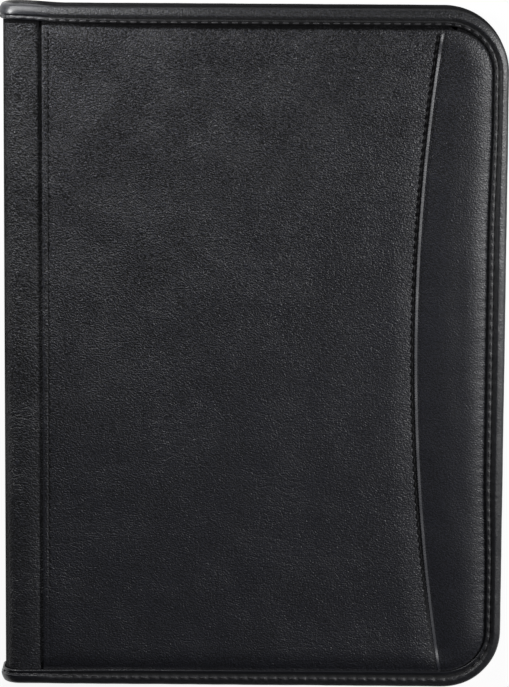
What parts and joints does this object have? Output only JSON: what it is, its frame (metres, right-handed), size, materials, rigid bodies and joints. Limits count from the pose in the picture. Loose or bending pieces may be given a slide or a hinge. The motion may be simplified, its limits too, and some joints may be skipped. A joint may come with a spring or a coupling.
{
  "type": "padfolio",
  "caption": "Closed leather document folder with bound round-cornered covers, a slash pocket in front and a writing pad inside.",
  "frame": {"origin": "middle of the bottom of the closed case, on the plateau of the rear cover", "axes": "+X from the spine to the fore-edge, +Y to the head, +Z out of the front cover"},
  "size_m": [0.242, 0.3316, 0.0254],
  "materials": {
    "leather": "pebble grain, satin",
    "binding": "pebble grain, satin",
    "lining": "matt woven",
    "pocket": "fine grain, satin",
    "foam": "open cell foam",
    "board": "pressed fibreboard",
    "backing": "grey chipboard",
    "paper": "ruled writing paper",
    "tape": "cloth tape",
    "elastic": "woven elastic"
  },
  "bodies": {
    "rear_cover": {"rear_panel": "leather", "rear_hinge_strip": "leather", "rear_hinge_padding": "foam", "rear_foam": "foam", "rear_board": "board", "rear_lining": "lining", "rear_gutter_lining": "lining", "rear_binding": "binding", "pad_pocket": "pocket"},
    "spine": {"spine_leather": "leather", "spine_stiffener": "board", "spine_lining": "lining", "spine_binding_head": "binding", "spine_binding_tail": "binding", "pen_loop": "elastic"},
    "front_cover": {"front_pocket_panel": "leather", "front_fore_edge_panel": "leather", "front_pocket_back": "lining", "front_hinge_strip": "leather", "front_hinge_padding": "foam", "front_foam": "foam", "front_board": "board", "front_lining": "lining", "front_gutter_lining": "lining", "front_binding": "binding", "document_pocket": "pocket", "card_pocket_upper": "pocket", "card_pocket_lower": "pocket"},
    "writing_pad": {"pad_backing": "backing", "pad_sheets": "paper", "pad_header_tape": "tape"}
  },
  "joints": [
    {"name": "rear_fold", "type": "hinge", "parent": "rear_cover", "child": "spine", "pos_m": [-0.11836, 0, 0.00304], "axis": [0, -1, 0], "range_deg": [0, 90]},
    {"name": "front_fold", "type": "hinge", "parent": "spine", "child": "front_cover", "pos_m": [-0.11836, 0, 0.02236], "axis": [0, -1, 0], "range_deg": [0, 90]},
    {"name": "pad_slide", "type": "slide", "parent": "rear_cover", "child": "writing_pad", "axis": [0, 1, 0], "range_m": [0, 0.185]}
  ]
}
